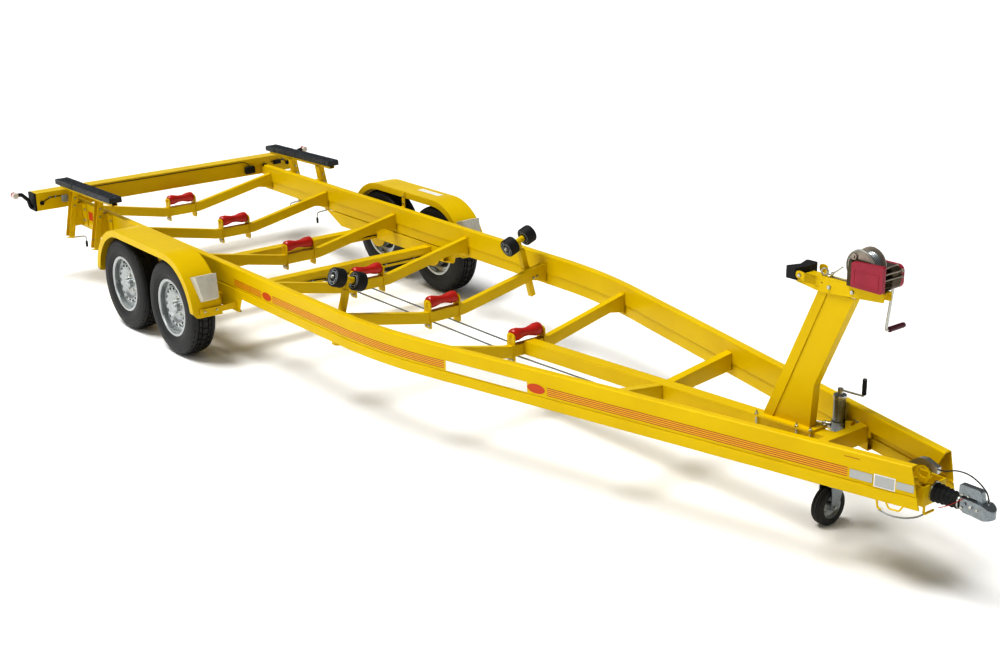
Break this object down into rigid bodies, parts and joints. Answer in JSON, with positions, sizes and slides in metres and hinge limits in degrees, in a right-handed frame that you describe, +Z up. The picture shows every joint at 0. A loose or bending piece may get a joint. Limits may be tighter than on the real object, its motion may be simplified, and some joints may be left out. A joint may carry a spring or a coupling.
{
  "type": "boat trailer",
  "caption": "Tandem-axle boat trailer with V-shaped folded frame, dipped crossbeams with keel rollers, side rollers, rear pads, winch post, jockey wheel and ball coupling.",
  "frame": {"origin": "on the ground, at the middle of the overall length and width", "axes": "+X towards the coupling, +Y to the trailer's left, +Z up"},
  "size_m": [7.854, 2.6164, 1.504],
  "materials": {
    "yellow_paint": "gloss",
    "zinc": "satin",
    "rim_silver": "satin",
    "tyre_rubber": "matte",
    "black_rubber": "matte",
    "red_roller": "satin",
    "grey_plastic": "matte",
    "black_plastic": "matte",
    "maroon_plastic": "satin",
    "lamp_lens": "gloss"
  },
  "bodies": {
    "chassis": {"main_beam_left": "yellow_paint", "main_beam_right": "yellow_paint", "lower_shells": "yellow_paint", "axle_carriers": "yellow_paint", "keel_crossbeams": "yellow_paint", "frame_crossmembers": "yellow_paint", "spine_tube": "yellow_paint", "roller_brackets": "yellow_paint", "axle_tubes": "yellow_paint", "swing_arms": "yellow_paint", "mudguard_left": "yellow_paint", "mudguard_right": "yellow_paint", "mudguard_stays": "yellow_paint", "side_posts": "yellow_paint", "pad_posts": "yellow_paint", "pad_rails": "yellow_paint", "light_bar": "yellow_paint", "winch_post": "yellow_paint", "winch_head": "yellow_paint", "cable_hooks": "yellow_paint", "overrun_housing": "yellow_paint", "jockey_tube": "zinc", "jockey_leg": "zinc", "jockey_clamp": "zinc", "jockey_crank": "zinc", "coupling_handle": "zinc", "handbrake_lever": "zinc", "coupling_head": "zinc", "brake_rods": "zinc", "winch_body": "zinc", "winch_drum": "zinc", "winch_crank": "zinc", "hull_pads": "black_rubber", "bow_stop": "black_rubber", "gaiter": "black_rubber", "marker_arms": "black_rubber", "wheel_chocks": "grey_plastic", "plug_lead": "grey_plastic", "breakaway_cable": "black_plastic", "winch_cover": "maroon_plastic", "marker_lamps": "lamp_lens"},
    "wheel_rear_left": {"tyre_rear_left": "tyre_rubber", "rim_rear_left": "rim_silver"},
    "wheel_rear_right": {"tyre_rear_right": "tyre_rubber", "rim_rear_right": "rim_silver"},
    "wheel_front_left": {"tyre_front_left": "tyre_rubber", "rim_front_left": "rim_silver"},
    "wheel_front_right": {"tyre_front_right": "tyre_rubber", "rim_front_right": "rim_silver"},
    "keel_roller_1": {"keel_roller_1": "red_roller"},
    "keel_roller_2": {"keel_roller_2": "red_roller"},
    "keel_roller_3": {"keel_roller_3": "red_roller"},
    "keel_roller_4": {"keel_roller_4": "red_roller"},
    "keel_roller_5": {"keel_roller_5": "red_roller"},
    "keel_roller_6": {"keel_roller_6": "red_roller"},
    "hull_rollers_left": {"hull_rollers_left": "black_rubber"},
    "hull_rollers_right": {"hull_rollers_right": "black_rubber"},
    "jockey_swivel": {"jockey_fork": "zinc"},
    "jockey_wheel": {"jockey_tyre": "black_rubber", "jockey_rim": "rim_silver"}
  },
  "joints": [
    {"name": "spin_rear_left", "type": "hinge", "parent": "chassis", "child": "wheel_rear_left", "pos_m": [-2.263, 1.0768, 0.325], "axis": [0, 1, 0], "continuous": true},
    {"name": "spin_rear_right", "type": "hinge", "parent": "chassis", "child": "wheel_rear_right", "pos_m": [-2.263, -1.0768, 0.325], "axis": [0, 1, 0], "continuous": true},
    {"name": "spin_front_left", "type": "hinge", "parent": "chassis", "child": "wheel_front_left", "pos_m": [-1.5423, 1.0768, 0.325], "axis": [0, 1, 0], "continuous": true},
    {"name": "spin_front_right", "type": "hinge", "parent": "chassis", "child": "wheel_front_right", "pos_m": [-1.5423, -1.0768, 0.325], "axis": [0, 1, 0], "continuous": true},
    {"name": "keel_roller_1_turn", "type": "hinge", "parent": "chassis", "child": "keel_roller_1", "pos_m": [-3.68974, 0, 0.491], "axis": [0, 1, 0], "continuous": true},
    {"name": "keel_roller_2_turn", "type": "hinge", "parent": "chassis", "child": "keel_roller_2", "pos_m": [-2.79758, 0, 0.491], "axis": [0, 1, 0], "continuous": true},
    {"name": "keel_roller_3_turn", "type": "hinge", "parent": "chassis", "child": "keel_roller_3", "pos_m": [-1.83775, 0, 0.491], "axis": [0, 1, 0], "continuous": true},
    {"name": "keel_roller_4_turn", "type": "hinge", "parent": "chassis", "child": "keel_roller_4", "pos_m": [-0.94265, 0, 0.491], "axis": [0, 1, 0], "continuous": true},
    {"name": "keel_roller_5_turn", "type": "hinge", "parent": "chassis", "child": "keel_roller_5", "pos_m": [-0.08505, 0, 0.491], "axis": [0, 1, 0], "continuous": true},
    {"name": "keel_roller_6_turn", "type": "hinge", "parent": "chassis", "child": "keel_roller_6", "pos_m": [0.75194, 0, 0.491], "axis": [0, 1, 0], "continuous": true},
    {"name": "hull_rollers_left_turn", "type": "hinge", "parent": "chassis", "child": "hull_rollers_left", "pos_m": [-0.12305, 0.65923, 0.7442], "axis": [0, 0.9397, 0.342], "continuous": true},
    {"name": "hull_rollers_right_turn", "type": "hinge", "parent": "chassis", "child": "hull_rollers_right", "pos_m": [-0.12305, -0.65923, 0.7442], "axis": [0, 0.9397, -0.342], "continuous": true},
    {"name": "jockey_swivel_turn", "type": "hinge", "parent": "chassis", "child": "jockey_swivel", "pos_m": [2.902, 0.214, 0.3], "axis": [0, 0, 1], "continuous": true},
    {"name": "jockey_wheel_spin", "type": "hinge", "parent": "jockey_swivel", "child": "jockey_wheel", "pos_m": [2.902, 0.172, 0.101], "axis": [1, 0, 0], "continuous": true}
  ]
}
